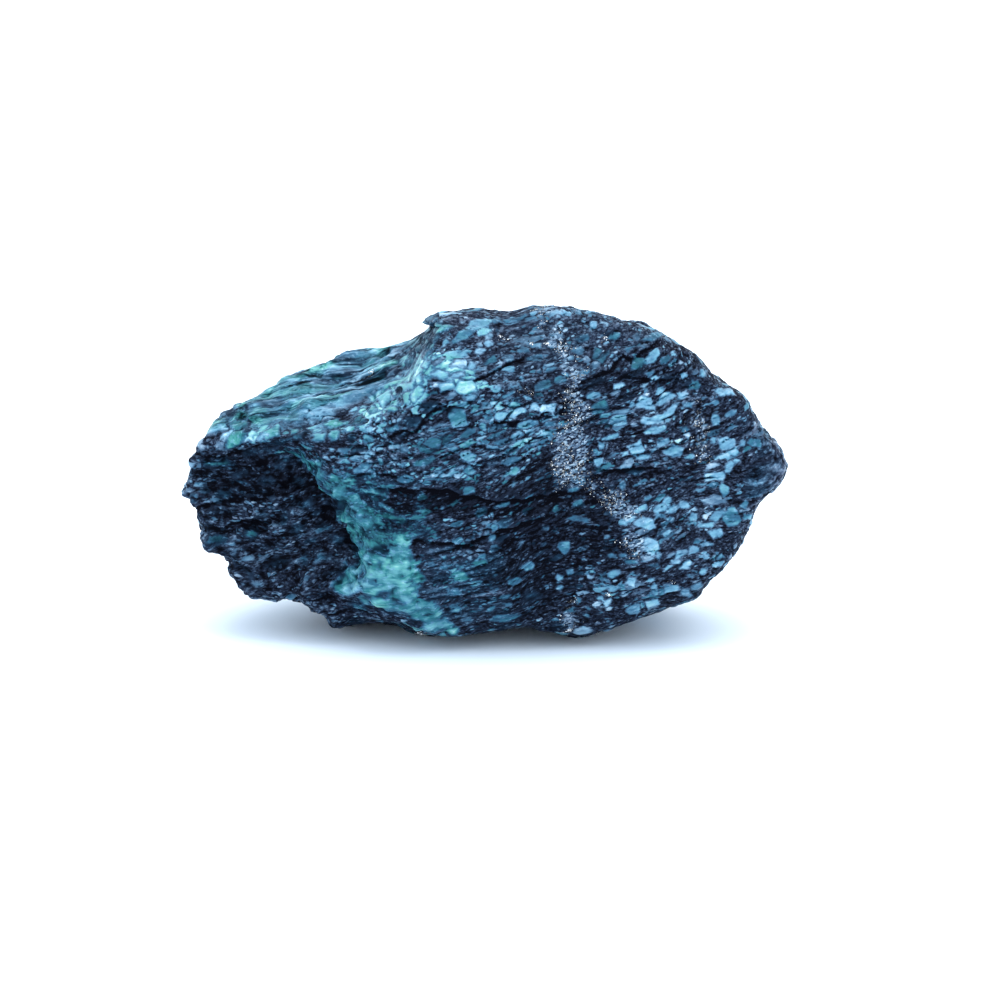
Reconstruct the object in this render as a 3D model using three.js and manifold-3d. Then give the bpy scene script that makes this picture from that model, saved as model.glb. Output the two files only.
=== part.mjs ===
// Raw variscite: one rough broken stone, about 60 mm long, resting on a flat break underneath.
// Its front is a set of fracture faces, its back a rounded weathered rind.
// Millimetres, +X to the stone's right, +Y to its back, +Z up, origin under its middle.
import * as THREE from "three";
import { ImprovedNoise } from "three/addons/math/ImprovedNoise.js";
import { mergeVertices } from "three/addons/utils/BufferGeometryUtils.js";
import Module from "manifold-3d";

const { clamp, degToRad, lerp, smoothstep } = THREE.MathUtils;

// The stone's rim, where front and back meet: [across, up], clockwise from the left end.
const RIM = [
  [-30.2, 15.2], [-29.8, 17.8], [-28.0, 20.0], [-25.8, 23.0], [-22.0, 25.0], [-16.8, 27.3], [-12.9, 28.7],
  [-7.6, 29.5], [-6.8, 30.6], [-6.4, 32.0], [-2.5, 32.6], [3.6, 32.9], [9.0, 32.8], [14.0, 31.5], [19.6, 28.6],
  [24.0, 24.9], [27.0, 21.4], [29.4, 18.3], [30.1, 16.9], [28.9, 15.2], [27.3, 13.9], [25.0, 9.6], [22.3, 6.3],
  [17.6, 3.2], [12.6, 1.0], [8.6, 0.0], [4.0, 1.2], [0.4, 0.6], [-3.4, -0.1], [-7.6, 0.2], [-9.6, 1.4],
  [-13.2, 1.6], [-15.4, 0.6], [-16.4, 2.4], [-19.6, 4.3], [-23.6, 4.1], [-26.0, 7.6], [-29.0, 10.6], [-29.1, 12.8],
];
const RIM_CENTRE = new THREE.Vector2(-1, 15.5);
const RIM_SAMPLES = 720;
const WORN_RIM = { arc: 0.5, share: 0.98, behind: 9 }; // the rim's notches are worn away this far behind it

// How far the stone stands out of the rim's plane, and how boxy its swell is: 2 is round, more is squarer.
const FRONT = { depth: 13, squareness: 3.2 };
const BACK = { depth: 20.5, squareness: 2.5 };
const LEAN = degToRad(14); // the rim's plane leans back

// Front fracture faces as planes: depth = at + across * x + up * z.
const MAIN_FACE = { at: 11.0, across: -0.2, up: 0.02 };
const BROW = { at: 27.0, across: -0.12, up: -0.62 };
const LEFT_FACET = { at: 10.2, across: 0.16, up: 0.07 };
const UNDERCUT = { at: 5.6, across: -0.1, up: 0.5 };
const SLOPE = { at: 50.6, across: 0.6, up: -1.6 };
const FACE_ROUNDING = 1.0;
const BACK_ROUNDING = 3;

// The split slope on the upper left ends at a step, where the main block stands above it.
const STEP = { across: -6.6, tilt: 0.22, height: 30, width: 2.2 };

// The dark hollow on the lower left: its brink as [across, up], and the broken floor inside it.
const HOLLOW_BRINK = [
  [-34.0, 18.6], [-26.6, 18.8], [-22.4, 19.4], [-18.9, 19.0], [-16.8, 16.7], [-15.3, 13.9], [-13.8, 11.7],
  [-12.4, 9.2], [-12.7, 6.8], [-14.2, 4.9], [-12.4, 3.6], [-9.8, 2.0], [-10.0, -4.0], [-34.0, -4.0],
];
const HOLLOW = { at: 6.2, across: 0.13, up: -0.05, wall: 1.9 };
const HOLLOW_LIP = { up: 4.6, height: 1.5, spread: 0.9 };

// Breaks on the back, as planes that cut the rind: depth behind the rim = at + across * x + up * z.
const BACK_BREAKS = [
  { at: 22.5, across: -0.42, up: -0.1 },
  { at: 28.0, across: 0.5, up: -0.2 },
  { at: 33.0, across: 0.1, up: -0.75 },
  { at: 9.5, across: 0.25, up: 1.1 },
];

// The stone splits along its foliation: thin sheets, stacked along this direction.
const FOLIATION = new THREE.Vector3(-0.2, -0.35, 0.91).normalize();
const SHEET = { spacing: 2.9, lip: 0.8, waviness: 1.1, wavelength: 8 };
const SHEET_RELIEF = { face: 0.5, hollow: 1.0, rind: 0.35 };
const SPLIT_PATCH = { size: 6, edge: 0.4 }; // sheets show in patches
const LUMPS = [
  { wavelength: 12, relief: 0.5 },
  { wavelength: 4.5, relief: 0.45 },
];
const RIND_START = { from: -1, to: 3 }; // the roughness eases into the worn back around the rim

// The stone starts as an icosahedron split along its edges and stretched to these proportions.
const FACETS = 21;
const PROPORTIONS = [30, 16, 16];
const CORE = new THREE.Vector3(RIM_CENTRE.x, 7, RIM_CENTRE.y);
const SEARCH = { reach: 50, step: 0.4, accuracy: 1e-4 };
const TRIM_BOX = 200;

const noise = new ImprovedNoise();

// Smallest of two depths, with the crease between them rounded off.
function roundedMin(a, b, rounding) {
  const mix = Math.max(rounding - Math.abs(a - b), 0) / rounding;
  return Math.min(a, b) - (mix * mix * rounding) / 4;
}

const plane = (face, x, z) => face.at + face.across * x + face.up * z;

// The rim's distance from its centre, in even steps all the way round, read off a smooth closed curve.
function makeRim() {
  const points = RIM.map(([x, z]) => new THREE.Vector3(x - RIM_CENTRE.x, 0, z - RIM_CENTRE.y));
  const curve = new THREE.CatmullRomCurve3(points, true, "centripetal").getPoints(4 * RIM_SAMPLES);
  const rim = new Float64Array(RIM_SAMPLES);
  for (const p of curve) {
    const sample = Math.round(turnShare(p.x, p.z) * RIM_SAMPLES) % RIM_SAMPLES;
    rim[sample] = Math.max(rim[sample], Math.hypot(p.x, p.z));
  }
  return rim.map((radius, i) => radius || rim.at(i - 1));
}

// Which share of a full turn a direction in the rim's plane makes, from 0 to 1.
function turnShare(x, z) {
  const share = Math.atan2(z, x) / (2 * Math.PI);
  return share - Math.floor(share);
}

// The same rim with its notches averaged out over an arc, a little smaller.
function wearRim(rim) {
  const half = Math.round((WORN_RIM.arc / (2 * Math.PI)) * RIM_SAMPLES);
  return rim.map((_, i) => {
    let sum = 0;
    for (let k = -half; k <= half; k++) sum += rim[(i + k + RIM_SAMPLES) % RIM_SAMPLES];
    return (WORN_RIM.share * sum) / (2 * half + 1);
  });
}

function readRim(rim, x, z) {
  const at = turnShare(x, z) * RIM_SAMPLES;
  const low = Math.floor(at) % RIM_SAMPLES;
  return lerp(rim[low], rim[(low + 1) % RIM_SAMPLES], at - Math.floor(at));
}

const sharpRim = makeRim();
const wornRim = wearRim(sharpRim);

// How far a point lies inside a closed outline; negative outside it.
function distanceInside(outline, x, z) {
  let nearest = Infinity;
  let inside = false;
  outline.forEach(([ax, az], i) => {
    const [bx, bz] = outline[(i + 1) % outline.length];
    const share = ((x - ax) * (bx - ax) + (z - az) * (bz - az)) / ((bx - ax) ** 2 + (bz - az) ** 2);
    const t = clamp(share, 0, 1);
    nearest = Math.min(nearest, Math.hypot(x - ax - t * (bx - ax), z - az - t * (bz - az)));
    if (az > z !== bz > z && x < ax + ((z - az) * (bx - ax)) / (bz - az)) inside = !inside;
  });
  return inside ? nearest : -nearest;
}

// A swelling side: full depth in the middle, falling to nothing at the rim, which is worn by a share.
function swell(side, x, z, worn) {
  const dx = x - RIM_CENTRE.x;
  const dz = z - RIM_CENTRE.y;
  const rim = lerp(readRim(sharpRim, dx, dz), readRim(wornRim, dx, dz), worn);
  const reach = Math.min(Math.hypot(dx, dz) / rim, 1);
  return side.depth * (1 - reach ** side.squareness) ** (1 / side.squareness);
}

// The front: a swelling cut back by the fracture faces, with the hollow broken out of it.
function frontDepth(x, z) {
  let depth = swell(FRONT, x, z, 0);
  for (const face of [MAIN_FACE, BROW, LEFT_FACET, UNDERCUT]) {
    depth = roundedMin(depth, plane(face, x, z), FACE_ROUNDING);
  }
  const stepAt = STEP.across + STEP.tilt * (z - STEP.height);
  const onSlope = 1 - smoothstep(x, stepAt - STEP.width / 2, stepAt + STEP.width / 2);
  const sloped = roundedMin(depth, plane(SLOPE, x, z), FACE_ROUNDING);
  depth = lerp(depth, sloped, onSlope);

  const inside = distanceInside(HOLLOW_BRINK, x, z);
  const fallen = smoothstep(inside, -HOLLOW.wall / 2, HOLLOW.wall / 2);
  const lip = HOLLOW_LIP.height * Math.exp(-(((z - HOLLOW_LIP.up) / HOLLOW_LIP.spread) ** 2));
  const floor = plane(HOLLOW, x, z) + lip;
  return lerp(depth, Math.min(depth, floor), fallen);
}

// The back: a worn swelling with a few broad breaks; the rim's notches fade with the distance behind it.
function backDepth(x, z, behind) {
  return BACK_BREAKS.reduce(
    (depth, face) => roundedMin(depth, plane(face, x, z), BACK_ROUNDING),
    swell(BACK, x, z, smoothstep(behind, 0, WORN_RIM.behind)),
  );
}

const isInside = (p) => -p.y < frontDepth(p.x, p.z) && p.y < backDepth(p.x, p.z, p.y);

// Where a ray from the stone's core leaves it, searched from outside inwards.
function surfacePoint(direction) {
  const along = (distance) => CORE.clone().addScaledVector(direction, distance);
  let outside = SEARCH.reach;
  while (outside > SEARCH.step && !isInside(along(outside - SEARCH.step))) outside -= SEARCH.step;
  let inside = outside - SEARCH.step;
  while (outside - inside > SEARCH.accuracy) {
    const middle = (inside + outside) / 2;
    if (isInside(along(middle))) inside = middle;
    else outside = middle;
  }
  return along(inside);
}

const noiseAt = (p, size, shift = 0) => noise.noise(p.x / size + shift, p.y / size - shift, p.z / size);

// Relief at a point: broad lumps, and sheets whose edges stand out and then drop back.
function relief(p) {
  const lumps = LUMPS.reduce((sum, lump) => sum + lump.relief * noiseAt(p, lump.wavelength), 0);
  const wave = SHEET.waviness * noiseAt(p, SHEET.wavelength, 7);
  const sheet = p.dot(FOLIATION) / SHEET.spacing + wave;
  const across = sheet - Math.floor(sheet);
  const edge = smoothstep(across, 0, SHEET.lip) - smoothstep(across, SHEET.lip, 1);
  const split = smoothstep(noiseAt(p, SPLIT_PATCH.size, 5), -SPLIT_PATCH.edge, SPLIT_PATCH.edge);
  return lumps + sheetRelief(p) * split * (edge - 0.5);
}

// The sheets stand out most in the broken hollow and least on the worn back.
function sheetRelief(p) {
  const inHollow = smoothstep(distanceInside(HOLLOW_BRINK, p.x, p.z), -HOLLOW.wall, HOLLOW.wall);
  const onBack = smoothstep(p.y, RIND_START.from, RIND_START.to);
  return lerp(lerp(SHEET_RELIEF.face, SHEET_RELIEF.hollow, inHollow), SHEET_RELIEF.rind, onBack);
}

function makeStone() {
  const start = new THREE.IcosahedronGeometry(1, FACETS).scale(...PROPORTIONS);
  start.deleteAttribute("normal");
  start.deleteAttribute("uv");
  const geometry = mergeVertices(start);
  const position = geometry.getAttribute("position");
  const p = new THREE.Vector3();
  for (let i = 0; i < position.count; i++) {
    p.fromBufferAttribute(position, i).normalize();
    position.setXYZ(i, ...surfacePoint(p));
  }
  geometry.computeVertexNormals();
  const normal = geometry.getAttribute("normal");
  const n = new THREE.Vector3();
  for (let i = 0; i < position.count; i++) {
    p.fromBufferAttribute(position, i);
    n.fromBufferAttribute(normal, i);
    position.setXYZ(i, ...p.addScaledVector(n, relief(p)));
  }
  geometry.deleteAttribute("normal");
  geometry.rotateX(-LEAN);
  return geometry;
}

const wasm = await Module();
wasm.setup();

function toSolid(geometry) {
  const bare = geometry.clone();
  bare.deleteAttribute("normal");
  bare.deleteAttribute("uv");
  const merged = mergeVertices(bare);
  return new wasm.Manifold(
    new wasm.Mesh({
      numProp: 3,
      vertProperties: new Float32Array(merged.getAttribute("position").array),
      triVerts: new Uint32Array(merged.index.array),
    }),
  );
}

function toGeometry(solid) {
  const { vertProperties, triVerts } = solid.getMesh();
  return new THREE.BufferGeometry()
    .setAttribute("position", new THREE.BufferAttribute(vertProperties, 3))
    .setIndex(new THREE.BufferAttribute(triVerts, 1));
}

// Cuts the underside flat, so that the stone rests on one level break.
function cutBase(geometry) {
  const ground = new THREE.BoxGeometry(TRIM_BOX, TRIM_BOX, TRIM_BOX).translate(0, 0, -TRIM_BOX / 2);
  return toGeometry(toSolid(geometry).subtract(toSolid(ground)));
}

// Moves the origin to the middle of the underside.
function centreOnBase(geometry) {
  geometry.computeBoundingBox();
  const middle = geometry.boundingBox.getCenter(new THREE.Vector3());
  return geometry.translate(-middle.x, -middle.y, -geometry.boundingBox.min.z);
}

const stone = new THREE.Mesh(
  centreOnBase(cutBase(makeStone())),
  new THREE.MeshStandardMaterial({ color: 0x2f5f75, roughness: 0.6, metalness: 0 }),
);
stone.name = "stone";

const part = new THREE.Group();
part.add(stone);
export default part;
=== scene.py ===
import math
from itertools import product

import bmesh
import bpy
import numpy as np
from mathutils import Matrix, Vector


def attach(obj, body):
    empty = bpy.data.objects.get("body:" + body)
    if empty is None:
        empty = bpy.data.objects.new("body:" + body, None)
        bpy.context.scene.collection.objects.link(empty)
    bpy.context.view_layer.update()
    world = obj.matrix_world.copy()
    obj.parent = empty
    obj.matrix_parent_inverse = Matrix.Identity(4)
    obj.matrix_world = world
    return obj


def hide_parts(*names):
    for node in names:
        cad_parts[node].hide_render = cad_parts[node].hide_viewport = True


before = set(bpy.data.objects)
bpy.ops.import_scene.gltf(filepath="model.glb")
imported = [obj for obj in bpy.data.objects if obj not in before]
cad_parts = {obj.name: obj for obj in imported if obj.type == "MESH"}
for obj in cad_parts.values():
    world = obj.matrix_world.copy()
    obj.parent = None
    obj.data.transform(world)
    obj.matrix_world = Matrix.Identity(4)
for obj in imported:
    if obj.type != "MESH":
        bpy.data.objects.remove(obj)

MM = 0.001
NODE = "stone"
BODY = "root"

# Camera: a picture 101 mm wide at the stone, seen from a little above.
VIEW_UP = math.radians(14)
VIEW_DISTANCE = 400.0
PICTURE_WIDTH = 101.0
SENSOR_WIDTH = 36.0
NEAREST, FARTHEST = 10.0, 10000.0
AIM = np.array([1.22, -0.77, 12.43])

# Light and floor: a bright tent, a soft key light from above and a pale floor.
TENT = {"Color": (0.80, 0.90, 1.0, 1), "Strength": 2.0}
KEY = {"color": (1.0, 0.97, 0.92), "energy": 1.6, "angle": math.radians(60)}
KEY_TURN = (math.radians(-12), math.radians(10), 0)
FLOOR = {"Base Color": (0.80, 0.87, 0.95, 1), "Roughness": 0.9}
FLOOR_REACH = 4000.0

# Mesh: a fine even grid for the relief, then thinned to the fewest triangles that keep it.
WELD = 0.001
GRID = 0.2
MOST_TRIANGLES = 196000

# The stone splits along its foliation. Grains are longest along it and thinnest through it.
FOLIATION = np.array([-0.2, -0.35, 0.91])
GRAIN_STRETCH = np.array([1.5, 1.2, 0.66])

# Areas of the front, in the picture's plane: (across, up) in mm from the picture's middle.
OUTLINES = {
    "hollow": [
        (-33, 7), (-30.4, 6.8), (-28.6, 4.9), (-26, 4.6), (-21.5, 4), (-19.7, 3.4), (-18.2, 2.3),
        (-16.5, 0), (-15, -2), (-13.8, -4.5), (-14, -7.2), (-15.4, -9.2), (-16.2, -10.2), (-15.6, -14),
        (-19, -14.5), (-33, -9),
    ],
    "slope": [
        (-30, 6), (-27, 9.6), (-18, 14.5), (-8.5, 17.4), (-6.8, 15.2), (-9.8, 11.9), (-18.8, 7.6),
        (-26, 6.4),
    ],
    "packed": [
        (-15, 6.4), (-10, 9.6), (-6, 11.5), (2, 10.5), (6, 9), (6, 5.5), (1.5, 3), (0, 1.4), (-8, 1.2),
        (-13, 2), (-17, 3.4),
    ],
    "upper": [(-7, 19), (6, 20), (12, 18.6), (16, 16.5), (13, 14), (7, 12.8), (0, 11), (-6, 15)],
    "shaded": [
        (-0.5, -0.5), (1.5, 2.6), (5, 4.4), (6, 2), (11, 1.6), (13, 0), (13, -3), (11.5, -6), (8, -8.6),
        (4.5, -11), (1.5, -13), (-0.5, -11), (-1, -6),
    ],
    "striated": [(-7.5, -4.2), (0, -3.6), (0.5, -10), (-0.5, -12), (-6, -11.5), (-7.5, -9)],
    "teal": [(-16.5, 3), (-10, 2), (-7, 0.5), (-7, -4), (-10, -4.5), (-13.5, -4), (-15, -1.5)],
    # The hollow's top under the brink, darker than the hollow: partly painted shade of the overhang.
    "cave_shade": [
        (-31, 5.6), (-28.8, 4.4), (-26, 4.4), (-21.5, 3.8), (-19.7, 3.2), (-18, 2), (-15, -2.2), (-14, -5),
        (-15.5, -4), (-18.5, -1.5), (-23, 0), (-29, -0.5),
    ],
    "tip": [(24.5, 8.5), (28, 6.5), (31, 3), (29, 0.5), (25.5, -2), (24.6, 1), (25.4, 4)],
}
WALL = [(-11.5, 10.5), (-8, 10), (-6, 13), (-5.6, 18.2), (-9.2, 18.2), (-11, 15)]

# Bands of the front: (across, up, half width) along a line.
BANDS = {
    "brow": [[(-25.6, 5, 0.3), (-22.5, 5, 0.6), (-19.6, 4.4, 0.7)]],
    "step": [[(-9.6, 14.2, 0.7), (-8.4, 16, 0.9), (-7.6, 17.4, 0.8)]],
    "ridge": [[
        (-20.2, 5, 0.5), (-18.2, 3.2, 0.9), (-16.2, 0.4, 1.2), (-14.6, -2, 1.5), (-13, -4.2, 1.5),
        (-13.8, -6.2, 0.8), (-14.8, -8, 0.8), (-15.9, -9.3, 0.7),
    ]],
    "pale": [
        [
            (-10.2, -4.6, 1), (-9.9, -7, 2), (-10.8, -8.8, 1.9), (-9, -10.4, 1.6), (-6.8, -12.2, 1.5),
            (-4.8, -13, 0.7),
        ],
        [(-12.6, -5.6, 0.7), (-12.8, -7, 1), (-13.4, -8.8, 1.2), (-12, -10.4, 0.8)],
    ],
    "crest": [[
        (-27.2, 6, 0.5), (-24, 6.7, 0.5), (-18.7, 7, 0.7), (-15, 7.9, 0.7), (-11.8, 10, 0.9),
        (-8.8, 11.8, 1.5), (-6.6, 13.6, 1.8), (-3.5, 12.4, 1.8),
    ]],
    # Darker below the first ledge: painted shade of the ledge over the dark matrix.
    "band": [[(-10.5, 0, 0.7), (-5, -0.4, 1.1), (1, -0.4, 1.2), (6.5, 0.2, 0.8)]],
    "vein": [
        [
            (5, 19.2, 0.5), (6.2, 15.5, 0.9), (7.5, 12, 0.8), (8, 9, 1), (7.6, 6, 1.6), (7, 3.4, 1.8),
            (9.8, 0.8, 1.1), (12.5, -1.5, 1.1), (14, -5, 0.8),
        ],
        [(19.5, 10, 0.4), (20.5, 6, 0.6), (20, 3, 0.4)],
        [(6.8, -12.3, 0.4), (8.8, -12.6, 0.6)],
    ],
    "cluster": [
        [(12.9, 8.2, 1.4), (16, 9.4, 2), (19.4, 10.6, 1)],
        [(12.4, 4.6, 0.9), (15.5, 5.4, 1.5), (18.5, 5.6, 1.1)],
        [(21, 5.6, 0.9), (26.3, 5.4, 0.7)],
        [(21.6, 2.6, 1.4)],
        [(13.5, -1.5, 1.4), (17, -0.5, 1.6), (20, -1.2, 1.1)],
        [(14.5, -5, 1.3), (17, -5.5, 1.1), (20.5, -5.5, 1.4)],
        [(22, -1.8, 1.1), (25, -2.4, 0.9)],
        [(10.5, -10, 0.9), (13.5, -8.5, 1.1), (15, -10.5, 1.1)],
    ],
}

# How each area looks, laid over one another in this order, in hundredths: the shares of large, medium and
# small grains, how pale and how green they are, how far a crust covers them, and how streaked they are.
LOOK_NAMES = ("large", "medium", "small", "tone", "green", "cover", "streak")
BODY_LOOK = (16, 26, 14, 50, -10, 0, 0)
LOOKS = {
    "upper": (10, 44, 36, 55, -20, 5, 15),
    "packed": (35, 70, 52, 53, 10, 15, 5),
    "shaded": (2, 8, 20, 28, -10, 0, 10),
    "striated": (5, 34, 38, 41, -5, 5, 35),
    "teal": (12, 45, 45, 32, 45, 30, 25),
    "tip": (3, 12, 20, 36, -40, 0, 60),
    "slope": (4, 12, 15, 44, 20, 0, 90),
    "step": (10, 50, 30, 50, 40, 45, 0),
    "wall": (0, 10, 20, 32, 35, 45, 0),
    "hollow": (6, 22, 42, 43, -45, 16, 0),
    "brow": (15, 60, 50, 36, 20, 10, 0),
    # Darker than the hollow: partly painted shade of the overhang above it.
    "cave_shade": (2, 12, 30, 23, -40, 12, 0),
    # Darker below the first ledge: painted shade of the ledge over the dark matrix.
    "band": (2, 8, 20, 22, 15, 0, 15),
    "cluster": (48, 42, 15, 63, -5, 0, 0),
    "crest": (18, 60, 45, 73, 68, 38, 5),
    "pale": (15, 45, 30, 56, 75, 55, 5),
    "ridge": (10, 35, 30, 35, 75, 48, 5),
}

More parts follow.
